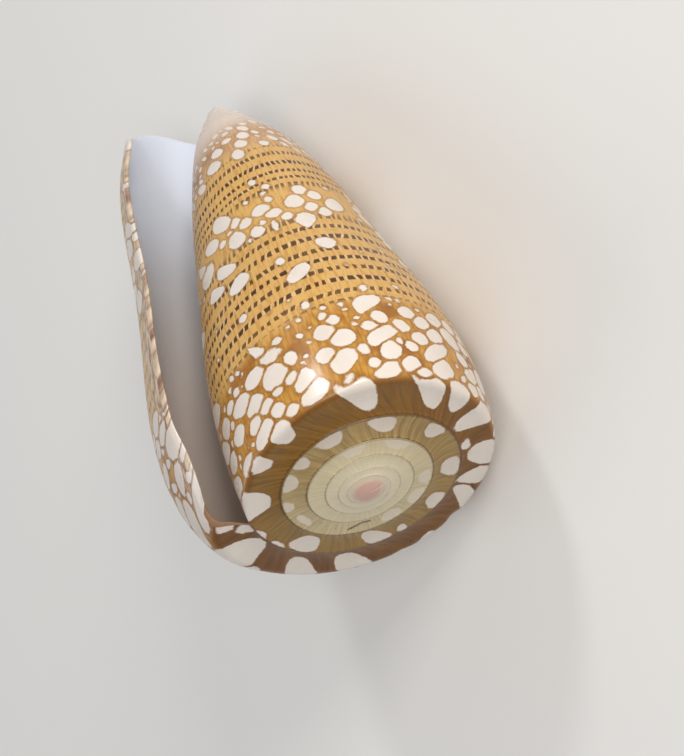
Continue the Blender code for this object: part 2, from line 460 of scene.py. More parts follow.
def lip_outer(i):
    """The wall's outer edge: along the lip from the suture, then back along the front end."""
    step = np.minimum(i, LIP_STEPS)
    ramp = ramp_section(0 * i, np.minimum(step, RAMP_STEPS))[0]
    side = side_point(0 * i, side_place(0 * i, np.maximum(step - RAMP_STEPS, 0)))
    turn = np.maximum(i - LIP_STEPS, 0) / ROWS_PER_TURN
    front = side_point(turn, 0 * turn + 1)
    edge = np.where((step < RAMP_STEPS)[:, None], ramp, side)
    return np.where((i > LIP_STEPS)[:, None], front, edge)


def lip_inner(i):
    turn = np.maximum(i - LIP_STEPS, 0) / ROWS_PER_TURN
    return inner_section(turn, np.minimum(i, LIP_STEPS))


def rim_sheet(i, j):
    """The rounded edge of the wall, which stands out by half its thickness."""
    outer = lip_outer(i)
    inner = lip_inner(i)
    turn = np.maximum(i - LIP_STEPS, 0) / ROWS_PER_TURN
    side = np.clip(i - RAMP_STEPS, 0, SIDE_STEPS)
    place = np.where(i < RAMP_STEPS, 0.0, side_place(0 * i, side))
    back = side_point(turn + A_LITTLE_BACK, place) - side_point(turn, place)
    ahead = -back / np.linalg.norm(back, axis=-1)[:, None]
    out = side_point(turn, 0 * i + 1) - side_point(turn, 0 * i + NEAR_THE_FRONT)
    out = out / np.linalg.norm(out, axis=-1)[:, None]
    bend = ease((i - LIP_STEPS) / RIM_SWINGS_OVER + 0.5)[:, None]
    away = ahead * (1 - bend) + out * bend
    thick = np.linalg.norm(outer - inner, axis=-1)[:, None]
    share = (j / RIM_COLUMNS)[:, None]
    point = outer + (inner - outer) * share + away * thick * 0.5 * np.sin(math.pi * share)
    body = side_point(0 * i + 1, side_place(0 * i + 1, j))
    return np.where((i == 0)[:, None], body, point), 0 * i, place * BODY_LENGTH / MM


TIP = np.array((0.0, 0.0, -BODY_LENGTH * EDGE_REACH[-1] - LIP_EDGE))


def tip_sheet(i, j):
    """The front end of the columella, drawn together to a point."""
    turn = (CHAMBER_ROWS + i) / ROWS_PER_TURN
    ring = side_point(turn, 0 * i + 1)
    share = j / TIP_COLUMNS
    point = lerp(ring, TIP, share)
    return point, turn, 0 * i + BODY_LENGTH / MM


def end_sheet(i, j):
    """The inner wall and the body drawn together where the open chamber ends."""
    turn = CHAMBER_TURNS + 0 * i
    wall = inner_section(turn, RAMP_STEPS + RIM_COLUMNS + i)
    body = side_point(turn + 1, body_place(turn + 1, i))
    return lerp(wall, body, j), turn, i / SIDE_COLUMNS * BODY_LENGTH / MM


# Markings: white tents left bare in the brown outer layer of the wall. Each is a rounded
# shape on the growing surface, and where two meet a thin brown net stays between them.
# A tent: turn, mm below the shoulder, half width, half height, lean, taper to the front end.
TENTS = (
    (0.885, 0.8, 1.3, 0.8, 0.0, 0.0), (0.837, 1.5, 1.2, 1.0, -0.5, 0.2),
    (0.790, 1.2, 0.7, 0.6, 0.0, 0.0), (0.756, 1.7, 1.2, 1.1, -0.3, 0.3),
    (0.718, 1.0, 0.7, 0.7, -0.3, 0.0), (0.671, 1.4, 1.1, 0.9, -0.5, 0.2),
    (0.630, 0.8, 0.9, 0.8, 0.0, 0.0), (0.643, 2.1, 0.9, 0.9, -0.3, 0.3),
    (0.684, 2.4, 0.5, 0.6, 0.0, 0.0), (0.599, 2.2, 1.1, 1.2, -0.3, 0.3),
    (0.806, 2.4, 0.7, 0.8, 0.3, 0.0), (0.844, 3.4, 0.8, 0.9, -0.3, 0.2),
    (0.820, 3.9, 0.9, 0.7, 0.0, 0.1), (0.797, 4.4, 0.6, 0.5, 0.0, 0.0),
    (0.777, 4.8, 0.7, 0.7, 0.0, 0.2), (0.762, 3.5, 0.9, 1.1, -0.2, 0.2),
    (0.715, 3.6, 1.1, 1.2, -0.3, -0.3), (0.690, 4.5, 0.6, 0.6, 0.0, 0.0),
    (0.661, 4.0, 0.9, 1.1, -0.2, 0.1), (0.635, 4.6, 0.6, 0.6, 0.0, 0.0),
    (0.648, 5.2, 0.4, 0.4, 0.0, 0.0), (0.602, 4.5, 1.0, 1.4, -0.8, 0.0),
    (0.880, 4.4, 1.0, 0.9, 0.0, -0.2), (0.834, 5.1, 1.1, 1.0, 0.0, 0.1),
    (0.793, 6.2, 1.3, 1.3, 0.1, 0.2), (0.731, 5.1, 0.8, 0.8, 0.0, 0.0),
    (0.666, 6.0, 1.1, 1.3, -0.9, -0.4), (0.619, 6.0, 0.8, 0.8, -0.2, 0.0),
    (0.857, 6.8, 1.3, 1.0, 0.2, -0.1), (0.769, 6.9, 0.6, 0.8, 0.0, 0.0),
    (0.707, 6.7, 1.0, 1.0, 0.0, 0.1), (0.674, 7.6, 0.7, 0.6, 0.0, 0.0),
    (0.638, 7.6, 0.8, 0.8, 0.0, 0.1), (0.594, 7.2, 0.9, 1.0, -0.3, 0.1),
    (0.906, 7.3, 1.1, 1.0, 0.0, -0.2), (0.878, 8.2, 0.9, 0.6, 0.0, 0.0),
    (0.821, 8.0, 1.2, 0.9, -0.2, -0.2), (0.857, 8.7, 0.5, 0.5, 0.0, 0.0),
    (0.723, 8.1, 0.9, 0.9, 0.0, 0.1), (0.792, 9.1, 1.1, 0.9, 0.2, 0.3),
    (0.803, 10.5, 0.6, 1.3, 0.7, 0.6), (0.659, 8.8, 0.7, 0.8, 0.0, 0.0),
    (0.606, 8.8, 0.8, 0.9, -0.3, 0.1), (0.710, 9.4, 0.6, 0.6, 0.0, 0.0),
    (0.668, 10.9, 1.1, 1.3, -0.6, -0.6), (0.622, 10.0, 0.8, 0.8, -0.2, 0.1),
    (0.579, 10.4, 1.0, 1.0, -0.3, 0.1), (0.777, 10.1, 0.5, 0.4, 0.0, 0.0),
    (0.718, 10.3, 0.4, 0.5, 0.0, 0.0), (0.886, 6.3, 0.4, 0.4, 0.0, 0.0),
    (0.921, 3.7, 1.2, 0.9, 0.0, 0.0), (0.936, 6.2, 1.4, 1.2, 0.5, 0.0),
    (0.932, 11.0, 1.7, 1.3, 0.5, 0.1), (0.944, 1.8, 1.5, 1.2, 0.5, 0.0),
    (0.731, 12.8, 0.4, 0.5, 0.0, 0.3), (0.661, 13.6, 0.4, 0.5, -0.3, 0.0),
    (0.810, 16.3, 0.5, 0.5, 0.0, 0.0), (0.723, 18.1, 1.0, 1.2, -0.5, 0.0),
    (0.802, 21.7, 1.2, 1.1, -0.2, 0.2), (0.738, 21.1, 0.4, 0.6, 0.0, 0.0),
    (0.674, 22.4, 0.9, 1.0, 0.0, -0.2), (0.852, 23.7, 1.1, 1.0, 0.5, 0.5),
    (0.823, 25.5, 1.1, 1.1, 0.6, 0.4), (0.870, 28.0, 1.3, 1.5, 0.0, -0.1),
    (0.888, 30.0, 0.9, 1.1, 0.8, 0.5), (0.788, 28.8, 0.9, 1.3, 0.1, 0.2),
    (0.752, 28.0, 0.7, 0.9, 0.0, 0.1), (0.767, 27.2, 0.3, 0.4, 0.0, 0.0),
    (0.725, 27.7, 0.3, 0.9, 0.0, 0.0), (0.740, 29.1, 0.4, 0.4, 0.0, 0.0),
    (0.682, 27.4, 0.9, 1.4, -0.1, -0.6), (0.702, 28.8, 0.6, 0.7, 0.0, 0.0),
    (0.816, 29.9, 0.5, 0.5, 0.0, 0.0), (0.720, 30.1, 0.8, 0.8, 0.0, -0.2),
    (0.766, 30.6, 0.7, 0.8, 0.0, 0.1), (0.797, 30.6, 0.4, 0.4, 0.0, 0.0),
    (0.735, 31.5, 0.9, 0.9, 0.0, 0.2), (0.682, 31.7, 0.9, 1.2, -0.2, 0.2),
    (0.661, 30.3, 0.7, 0.9, -0.2, 0.0), (0.646, 29.4, 0.7, 0.9, -0.2, 0.0),
    (0.619, 31.7, 0.9, 1.4, -0.3, 0.2), (0.844, 31.2, 1.1, 1.0, 0.3, -0.1),
    (0.782, 31.7, 0.6, 0.8, 0.0, 0.1), (0.810, 33.2, 1.1, 1.3, 0.3, 0.1),
    (0.718, 33.0, 0.4, 0.5, 0.0, 0.0), (0.645, 33.1, 0.7, 0.9, -0.2, 0.0),
    (0.664, 34.1, 0.7, 0.9, -0.2, 0.0), (0.932, 21.9, 1.3, 1.2, 0.6, 0.2),
    (0.731, 37.2, 0.4, 0.5, 0.0, 0.0), (0.713, 35.6, 0.4, 0.5, 0.0, 0.0),
    (0.847, 42.2, 0.7, 0.8, 0.3, 0.0), (0.797, 44.1, 0.9, 1.0, 0.0, 0.1),
    (0.780, 46.5, 0.7, 0.8, 0.0, 0.1), (0.718, 46.3, 0.6, 0.8, 0.0, 0.0),
    (0.733, 44.1, 0.6, 1.0, 0.0, 0.1), (0.704, 48.2, 0.6, 0.8, 0.0, 0.0),
)
# A blotch on a ramp: from and to turn, from and to share of the ramp's width, lean
BLOTCHES = (
    (0.000, 0.018, -0.1, 0.42, 0.0), (-0.004, 0.010, 0.42, 0.9, 0.0), (0.033, 0.077, 0.05, 1.3, 0.3),
    (0.120, 0.155, 0.25, 1.2, 0.7), (0.178, 0.215, 0.2, 1.1, 0.6), (0.275, 0.300, 0.8, 1.3, -0.5),
    (0.353, 0.382, 0.10, 1.1, -0.6), (0.385, 0.417, 0.05, 1.2, 0.4), (0.420, 0.467, 0.2, 1.3, -0.2),
    (0.463, 0.485, 0.05, 0.3, 0.0), (0.500, 0.536, 0.1, 1.4, -0.1), (0.554, 0.587, 0.4, 1.3, 0.5),
    (0.593, 0.633, 0.25, 1.2, 0.7), (0.688, 0.727, 0.2, 1.3, 0.4), (0.800, 0.833, 0.5, 1.3, 0.0),
    (0.860, 0.893, 0.5, 1.3, 0.3), (0.928, 0.983, 0.25, 1.3, 0.1), (1.080, 1.128, 0.2, 0.97, 0.0),
    (1.205, 1.243, 0.2, 1.0, 0.6), (1.263, 1.280, 0.65, 0.97, 0.0), (1.330, 1.368, 0.4, 0.97, -0.1),
    (1.412, 1.460, 0.3, 0.95, 0.0), (1.537, 1.575, 0.35, 0.95, 0.0), (1.643, 1.693, 0.25, 0.97, 0.4),
    (1.748, 1.798, 0.35, 1.0, 0.1), (1.830, 1.863, 0.4, 1.0, 0.0), (1.880, 1.927, 0.4, 1.0, -0.1),
    (1.960, 1.992, 0.55, 0.95, -0.2), (2.015, 2.065, 0.4, 0.75, 0.0), (2.250, 2.300, 0.2, 0.9, 0.0),
    (2.328, 2.383, 0.3, 0.95, 0.0), (2.402, 2.450, 0.3, 0.9, 0.0), (2.578, 2.650, 0.35, 0.95, 0.0),
    (2.710, 2.768, 0.3, 0.95, 0.0),
)
BLOTCH_TAPER = -0.25
NET_WIDTH = 0.3
TENT_SIZE = 1.16
SHOULDER_TENT_SIZE = 1.25
SHOULDER_TENTS_END = 10.6
RAMP_SQUARE = 3.0
TENT_SQUARE = 1.85
FIELD_REACH = 2.5
FAR_OUTSIDE = -3.0
TURN_OF_REFERENCE = 0.8
RAMP_TENTS_ABOVE = 0.6
FULL_SIZE_ROUND = 60.0
LEEWAY = 1.5


def grown(turn):
    """How much larger the shell is at a turn than where the rows of dots were measured."""
    return WHORL_EXPANSION**(TURN_OF_REFERENCE - turn)


def mm_per_turn(turn, down):
    """Length of one turn round the shell, in mm, at a distance from the shoulder in mm."""
    place = np.clip(down * MM / BODY_LENGTH, 0.0, 1.0)
    radius = side_profile(turn, place)[0] / MM + np.minimum(down, 0.0)
    return math.tau * np.maximum(radius, 1.0)


def ramp_width(turn):
    return (shoulder_radius(turn) - shoulder_radius(turn + 1)) / MM


def blotch(turn_from, turn_to, share_from, share_to, lean):
    """A ramp's blotch in the same terms as a tent: its middle, half sizes, lean and taper."""
    turn = (turn_from + turn_to) / 2
    width = ramp_width(turn)
    top = (share_from - 1) * width
    low = (share_to - 1) * width
    middle = (top + low) / 2
    return (turn, middle, (turn_to - turn_from) / 2 * mm_per_turn(turn, middle), (low - top) / 2, lean,
            BLOTCH_TAPER)


def strew(chance, found, tries, turns, depths, sizes, spacing):
    """Adds tents at random over a stretch of the side, none of them on another."""
    for _ in range(tries):
        turn = chance.uniform(*turns)
        down = chance.uniform(*depths) * grown(turn)
        size = chance.uniform(*sizes) * grown(turn)
        room = mm_per_turn(turn, down)
        size *= min(1.0, room / FULL_SIZE_ROUND)
        near = any(math.hypot((turn - other[0]) * room, down - other[1]) < spacing * (size + other[3])
                   for other in found)
        if not near:
            tall = size * chance.uniform(0.9, 1.25)
            found.append((turn, down, size, tall, chance.uniform(-0.5, 0.5), chance.uniform(-0.4, 0.4)))


# The stretches that the photograph doesn't show are strewn with tents like those it shows. A band:
# tries, mm below the shoulder from and to, size from and to, room kept round a tent
HIDDEN = ((0.0, 0.565), (0.985, 1.12))
HIDDEN_TURNS = 0.56
CHANCE_SEED = 11
STREWN = (
    (800, (0.6, 10.5), (0.85, 1.4), 0.82), (1100, (0.4, 11.0), (0.35, 0.8), 0.88),
    (60, (12.0, 25.0), (0.5, 1.1), 2.2), (480, (26.5, 33.5), (0.75, 1.25), 0.84),
    (480, (26.5, 34.0), (0.35, 0.7), 0.9), (30, (35.0, 40.0), (0.4, 0.6), 2.5),
    (480, (42.5, 50.5), (0.55, 1.0), 0.9), (700, (0.5, 11.2), (0.22, 0.42), 1.05),
    (240, (26.5, 34.0), (0.22, 0.4), 1.1),
)
SMALL_FLECKS = ((420, (0.4, 11.3), (0.25, 0.42), 1.2), (50, (26.5, 33.5), (0.25, 0.4), 1.2),
                (320, (42.5, 50.5), (0.4, 0.85), 1.1), (26, (12.0, 25.0), (0.18, 0.3), 2.4))
SEEN = (0.565, 0.985)


def all_tents():
    chance = np.random.default_rng(CHANCE_SEED)
    found = []
    for turn, down, wide, tall, lean, taper in TENTS:
        size = SHOULDER_TENT_SIZE if down < SHOULDER_TENTS_END else TENT_SIZE
        found.append((turn, down, wide * size, tall * size, lean, taper))
    found += [blotch(*row) for row in BLOTCHES]
    for tries, depths, sizes, spacing in STREWN:
        for turns in HIDDEN:
            share = (turns[1] - turns[0]) / HIDDEN_TURNS
            strew(chance, found, round(tries * share), turns, depths, sizes, spacing)
    for tries, depths, sizes, spacing in SMALL_FLECKS:
        strew(chance, found, tries, SEEN, depths, sizes, spacing)
    return found


def inside_tent(tent, turn, down, square):
    """How far inside a tent the points lie, in mm: below nought outside it."""
    middle, centre, half_width, half_height, lean, taper = tent
    below = down - centre
    aside = (turn - middle) * mm_per_turn(middle, centre) - lean * below
    wide = half_width * (1 - taper * np.clip(below / half_height, -1, 1))
    reach = (np.abs(aside / wide)**square + np.abs(below / half_height)**square)**(1 / square)
    return (1 - reach) * min(half_width, half_height)


def tent_fields(turn, down):
    """Four fields at each point, in mm inside the nearest tent of each of four classes.

    Tents that are neighbours are in different classes, so that each field stays even from one
    point of the mesh to the next and the thin net between two tents stays sharp.
    """
    tents = all_tents()
    squares = [RAMP_SQUARE if tent[1] < RAMP_TENTS_ABOVE and k >= len(TENTS) else TENT_SQUARE
               for k, tent in enumerate(tents)]
    order = np.argsort(turn)
    sorted_turn = turn[order]
    best = np.full(len(turn), FAR_OUTSIDE)
    second = np.full(len(turn), FAR_OUTSIDE)
    reached = []
    for tent, square in zip(tents, squares):
        room = mm_per_turn(tent[0], tent[1])
        reach = (tent[2] * LEEWAY + abs(tent[4]) * tent[3] + FIELD_REACH) / room
        first, last = np.searchsorted(sorted_turn, (tent[0] - reach, tent[0] + reach))
        near = order[first:last]
        near = near[np.abs(down[near] - tent[1]) < tent[3] + FIELD_REACH]
        value = np.maximum(inside_tent(tent, turn[near], down[near], square), FAR_OUTSIDE)
        second[near] = np.maximum(second[near], np.minimum(best[near], value))
        best[near] = np.maximum(best[near], value)
        reached.append((near, value))
    classes = []
    fields = np.full((len(turn), 4), FAR_OUTSIDE)
    for k, (tent, (near, value)) in enumerate(zip(tents, reached)):
        room = mm_per_turn(tent[0], tent[1])
        clearance = [FIELD_REACH] * 4
        for other, its_class in zip(tents, classes):
            apart = math.hypot((tent[0] - other[0]) * room, tent[1] - other[1])
            apart -= (tent[2] + tent[3] + other[2] + other[3]) / 2
            clearance[its_class] = min(clearance[its_class], apart)
        kind = clearance.index(max(clearance))
        classes.append(kind)
        rival = np.where(value >= best[near], second[near], best[near])
        clear = np.minimum(value, (value - rival) / 2 - NET_WIDTH / 2)
        fields[near, kind] = np.maximum(fields[near, kind], clear)
    return fields


# Rows of dots: mm below the shoulder where they were measured, and how strong each one is
ROWS = (
    (11.5, 0.8), (12.8, 0.85), (14.8, 1.0), (16.7, 0.9), (18.5, 1.0), (20.2, 0.9), (22.7, 0.95),
    (24.8, 0.9), (26.6, 0.7), (34.0, 0.8), (35.4, 0.9), (36.8, 0.95), (38.7, 1.0), (41.0, 0.85),
    (42.9, 0.7),
)
DOT_PITCH = 0.78
DOTS_MEASURED_AT = 24.0
DOTS_LEAN = 0.08

# Bands down the side, in mm below the shoulder: where the dots, the plain ochre and the pale front
# end begin and end, and in turns, how far the painted mauve sheen by the lip reaches
DOTS_FROM, DOTS_TO = 10.6, 44.4
BELT_FROM, BELT_TO = 27.0, 33.8
PLAIN_FROM, PLAIN_TO = 9.8, 42.5
PALE_FROM, PALER_FROM = 42.0, 47.0
LIP_SHEEN_BAND = 0.034


def row_marks(turn, down):
    """Where a point lies among the rows of dots: dots along them, and rows down from the top."""
    depth = down / grown(turn)
    places = np.array([row[0] for row in ROWS])
    before = places[0] - (places[1] - places[0])
    after = places[-1] + (places[-1] - places[-2])
    row = np.interp(depth, np.concatenate(([before], places, [after])), np.arange(-1, len(ROWS) + 1))
    along = (1 - WHORL_EXPANSION**(TURN_OF_REFERENCE - turn)) / math.log(WHORL_EXPANSION)
    dots = mm_per_turn(TURN_OF_REFERENCE, DOTS_MEASURED_AT) / DOT_PITCH
    return along * dots + DOTS_LEAN * depth, row


def zones(turn, down):
    """Strength of the dots, plain ochre stripes, paleness of the front end and the lip's painted mauve
    sheen.
    """
    depth = down / grown(turn)
    places = np.array([row[0] for row in ROWS])
    strong = np.array([row[1] for row in ROWS])
    dots = np.interp(depth, places, strong, left=0.0, right=0.0)
    dots = dots * ease((depth - DOTS_FROM) / 1.2) * ease((DOTS_TO - depth) / 1.0)
    dots = dots * (1 - ease((depth - BELT_FROM) / 0.8) * ease((BELT_TO - depth) / 0.8))
    plain = ease((depth - PLAIN_FROM) / 2.5) * (1 - ease((depth - PLAIN_TO) / 3.0))
    pale = 0.2 * ease((depth - PALE_FROM) / 3.0) + 0.8 * ease((depth - PALER_FROM) / 6.0)
    # Painted sheen: the mauve by the lip stands in for the hazy light on that side
    mauve = 0.8 * ease((LIP_SHEEN_BAND - turn) / LIP_SHEEN_BAND)
    return np.stack((dots, plain, pale, mauve), -1)


# Dark hairlines: a crack in the third whorl's ramp and a healed chip by the dent in the shoulder
HAIRLINES = (
    ((2.1675, -0.79), (2.198, -1.65)),
    ((2.198, -1.65), (2.219, -1.53)),
    ((0.3845, -1.35), (0.3745, -0.17)),
)
FAR_FROM_SEAM = 3.0
FAR_FROM_AXIS = 9.0
RISER_PAST_EDGE = 0.02


def seams(turn, down):
    """Distances in mm from the suture on its two sides, from the hairlines and from the axis.

    Those from the suture are stretched on the inner whorls, where the line is thinner.
    """
    inner_end = side_point(turn + 1, side_start(turn + 1))
    ramp = np.linalg.norm(side_point(turn, 0 * turn) - inner_end, axis=-1) / MM
    stretch = WHORL_EXPANSION**(0.5 * turn)
    covered = turn < SPIRE_TURNS + 0.01
    suture = np.where((down < 0) & covered, (ramp + down) * stretch, FAR_FROM_SEAM)
    past = np.maximum(-down - RISER_PAST_EDGE, 0.0) * stretch
    riser = np.where((turn > 0.995) & covered, past, FAR_FROM_SEAM)
    hairline = FAR_FROM_SEAM + 0 * turn
    for start, end in HAIRLINES:
        length = mm_per_turn(start[0], start[1])
        along = np.stack(((turn - start[0]) * length, down - start[1]), -1)
        line = np.array(((end[0] - start[0]) * length, end[1] - start[1]))
        share = np.clip(along @ line / (line @ line), 0, 1)[:, None]
        hairline = np.minimum(hairline, np.linalg.norm(along - share * line, axis=-1))
    radius = np.clip(shoulder_radius(turn) / MM + down, 0, FAR_FROM_AXIS)
    radius = np.where(turn > 1, radius, FAR_FROM_AXIS)
    near = [np.clip(distance, 0, FAR_FROM_SEAM) for distance in (suture, riser)]
    return np.stack((*near, hairline, radius), -1)


shell_mesh = bpy.data.meshes.new("shell_wall")
draft = bmesh.new()
draft.loops.layers.uv.new("growth")
OUTSIDE, INSIDE = 0, 1
sheet(draft, round(SPIRE_TURNS * ROWS_PER_TURN), RAMP_STEPS, ramp_sheet, OUTSIDE)
sheet(draft, ROWS_PER_TURN, SIDE_STEPS, side_sheet, OUTSIDE)
sheet(draft, CHAMBER_ROWS, SIDE_COLUMNS, body_sheet, OUTSIDE)
sheet(draft, CHAMBER_ROWS, LIP_STEPS, inner_sheet, INSIDE)
sheet(draft, LIP_STEPS + CHAMBER_ROWS, RIM_COLUMNS, rim_sheet, OUTSIDE)
sheet(draft, ROWS_PER_TURN, TIP_COLUMNS, tip_sheet, OUTSIDE)
sheet(draft, SIDE_COLUMNS, 1, end_sheet, INSIDE)
bmesh.ops.remove_doubles(draft, verts=draft.verts, dist=MERGE)
open_edges = [edge for edge in draft.edges if len(edge.link_faces) == 1]
closed = bmesh.ops.holes_fill(draft, edges=open_edges, sides=0)["faces"]
growth = draft.loops.layers.uv["growth"]
nucleus = max(closed, key=lambda face: len(face.verts))
for face in closed:
    face.material_index = OUTSIDE if face == nucleus else INSIDE
    for loop in face.loops:
        loop[growth].uv = (NUCLEUS_TURN, -1.0)
apex = bmesh.ops.poke(draft, faces=[nucleus])["verts"][0]
apex.co = (0.0, 0.0, shoulder_height(SPIRE_TURNS))
bmesh.ops.subdivide_edges(draft, edges=list(apex.link_edges), cuts=NUCLEUS_RINGS)
for vert in draft.verts:
    for loop in vert.link_loops:
        if loop[growth].uv == Vector((NUCLEUS_TURN, -1.0)):
            loop[growth].uv.y = (vert.co.xy.length - shoulder_radius(NUCLEUS_TURN)) / MM
worn = [vert for vert in draft.verts if vert.co.z > 0 and vert.co.xy.length < NUCLEUS_WEAR]
for _ in range(NUCLEUS_POLISH):
    bmesh.ops.smooth_vert(draft, verts=worn, factor=0.5, use_axis_z=True)
for vert in worn:
    out = min(vert.co.xy.length / NUCLEUS_RADIUS, 1.0)
    vert.co.z += NUCLEUS_DOME * (1 - out * out)

lie = Matrix.Rotation(math.radians(AXIS_TIP), 4, "X")
lie = lie @ Matrix.Rotation(math.radians(TURN_ABOUT_AXIS), 4, "Z")
bmesh.ops.transform(draft, matrix=lie, verts=draft.verts)
belly = min(vert.co.z for vert in draft.verts) + BELLY_FLAT
for vert in draft.verts:
    vert.co.z = max(vert.co.z, belly)
low = Vector([min(vert.co[axis] for vert in draft.verts) for axis in range(3)])
high = Vector([max(vert.co[axis] for vert in draft.verts) for axis in range(3)])
cad_low, cad_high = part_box("shell")
shift = (cad_low + cad_high) / 2 - (low + high) / 2
shift.z = cad_low.z - low.z
bmesh.ops.translate(draft, vec=shift, verts=draft.verts)
bmesh.ops.recalc_face_normals(draft, faces=draft.faces)
draft.to_mesh(shell_mesh)
draft.free()
shell_mesh.shade_smooth()
shell = bpy.data.objects.new("shell_wall", shell_mesh)
bpy.context.scene.collection.objects.link(shell)

# The markings are worked out once at each different place, then given to the faces' corners
corners = np.empty(len(shell_mesh.loops) * 2, np.float32)
shell_mesh.uv_layers["growth"].uv.foreach_get("vector", corners)
places, which = np.unique(corners.reshape(-1, 2), axis=0, return_inverse=True)
which = which.reshape(-1)
turn_there, down_there = places[:, 0].astype(float), places[:, 1].astype(float)
for name, found_there in (("tents", tent_fields), ("zones", zones), ("seams", seams)):
    values = found_there(turn_there, down_there)
    layer = shell_mesh.attributes.new(name, "FLOAT_COLOR", "CORNER")
    layer.data.foreach_set("color", values[which].astype(np.float32).ravel())
rows_layer = shell_mesh.uv_layers.new(name="rows")
rows_there = np.stack(row_marks(turn_there, down_there), -1)
rows_layer.uv.foreach_set("vector", rows_there[which].astype(np.float32).ravel())

# Polished aragonite: a brown outer layer with white tents under a clear natural gloss. The eye
# sees sharp small highlights, fine growth lines along the lip's line and slightly uneven browns.
TENT_WHITE = "#e7ded5"
TENT_SHADE = "#d5c9bb"
NET_DARK = "#7c4a16"
NET_TONES = ((0.33, "#a0691f"), (0.62, "#c99644"))
PATCH_BROWN = "#945a12"
STRIPE_TONES = ((0.28, "#b47f30"), (0.52, "#d2a660"))
DOT_BROWN = "#4c2a0a"
GAP_PINK = "#ead2ae"
FRONT_PINK = "#ddd0c6"
# The lip's pale mauve tones are painted sheen of the hazy light on that side
LIP_SHEEN_TONES = ((0.42, "#8a6c60"), (0.56, "#dccbb6"))
# Dark brown of the hairline cracks, also used as the painted shade of the sutures' grooves
CRACK_BROWN_AND_SUTURE_SHADE = "#4e3011"
SHOULDER_BROWN = "#6d3d10"
RAMP_BROWNS = ((0.0, "#6c420c"), (0.4, "#764908"), (0.95, "#845f20"), (1.1, "#8f6f34"), (1.9, "#a58b5a"),
               (2.1, "#c4b38a"), (3.2, "#d2c5a4"), (4.4, "#d6caae"), (7.3, "#d3c6b0"))
NUCLEUS_PINK = "#c79c8d"
STREAK_WIDE = 0.35
STREAK_LONG = 3.0
TURN_LENGTH = 80.0
EDGE_WANDER = 0.5 * MM
WANDER_BY = 0.3
TENT_EDGE = 0.09
BRIM_WIDE = 0.4
CLOUD_SIZE = 3.5 * MM
ROW_HALF = 0.26
ROW_SOFT = 0.05
ROW_PLAY = 0.14
DOT_HALF = 0.21
DOT_PLAY = 0.18
JOG_LONG = 1.6 * MM
JOG_BY = 1.1
LINES_PER_TURN = 170.0
LINES_PER_MM = 0.22
LINE_BOW = 0.0016
CRIMP = 0.6
SUTURE_HALF = 0.14
SUTURE_SOFT = 0.08
HAIRLINE_WIDE = 0.26
HAIRLINE_CORE = 0.1
PINK_ENDS = 2.5
PINK_FULL = 0.2
MICRO_RELIEF = 0.03 * MM

glaze = bpy.data.materials.new("polished_aragonite")
glaze.use_nodes = True
tree = glaze.node_tree
surface = tree.nodes["Principled BSDF"]
growth_map = node(tree, "ShaderNodeUVMap", {"uv_map": "growth"}).outputs["UV"]
rows_map = node(tree, "ShaderNodeUVMap", {"uv_map": "rows"}).outputs["UV"]
place = node(tree, "ShaderNodeTexCoord").outputs["Object"]
growth_parts = node(tree, "ShaderNodeSeparateXYZ", _0=growth_map)
turn_of, down_of = growth_parts.outputs["X"], growth_parts.outputs["Y"]
tents = node(tree, "ShaderNodeAttribute", {"attribute_name": "tents"})
tent_parts = node(tree, "ShaderNodeSeparateColor", _0=tents.outputs["Color"])
zone = node(tree, "ShaderNodeAttribute", {"attribute_name": "zones"})
zone_parts = node(tree, "ShaderNodeSeparateColor", _0=zone.outputs["Color"])

# Fine noise that makes the tents' edges wander, and streaks that follow the growth lines
wander = node(tree, "ShaderNodeTexNoise", Vector=place, Scale=1 / EDGE_WANDER, Detail=2.0)
streak_scale = (TURN_LENGTH / STREAK_WIDE, 1 / STREAK_LONG, 1.0)
streak_place = node(tree, "ShaderNodeMapping", Vector=growth_map, Scale=streak_scale)
streaks = node(tree, "ShaderNodeTexNoise", Vector=streak_place, Scale=1.0, Detail=4.0, Roughness=0.6)
clouds = node(tree, "ShaderNodeTexNoise", Vector=place, Scale=1 / CLOUD_SIZE, Detail=3.0)

# Tents: the nearest of the four classes, in mm inside its edge
first = calc(tree, "MAXIMUM", tent_parts, tent_parts.outputs[1])
other = calc(tree, "MAXIMUM", tent_parts.outputs[2], tents.outputs["Alpha"])
nearest = calc(tree, "MAXIMUM", first, other)
play = calc(tree, "MULTIPLY_ADD", wander, WANDER_BY, -WANDER_BY / 2)
inside = calc(tree, "ADD", nearest, play)
white = soft_step(tree, inside, -TENT_EDGE, TENT_EDGE)
brim = soft_step(tree, inside, -BRIM_WIDE, -0.02, 0.5)

# Streaky tones of the brown net, the plain ochre bands and the painted mauve sheen by the lip's
# edge, and the ramps' browns by their turn
net = tone_ramp(tree, streaks, NET_TONES)
stripe = tone_ramp(tree, streaks, STRIPE_TONES)
lip_sheen_tones = tone_ramp(tree, streaks, LIP_SHEEN_TONES)
age = calc(tree, "DIVIDE", turn_of, NUCLEUS_TURN)
ramp_colour = tone_ramp(tree, age, [(turn / NUCLEUS_TURN, code) for turn, code in RAMP_BROWNS])

# Ground: the net with darker patches, and plain ochre in the bands
patch = soft_step(tree, clouds, 0.52, 0.64, 0.8)
patched = blend(tree, patch, net, linear(PATCH_BROWN))
ground = blend(tree, zone_parts.outputs[1], patched, stripe)

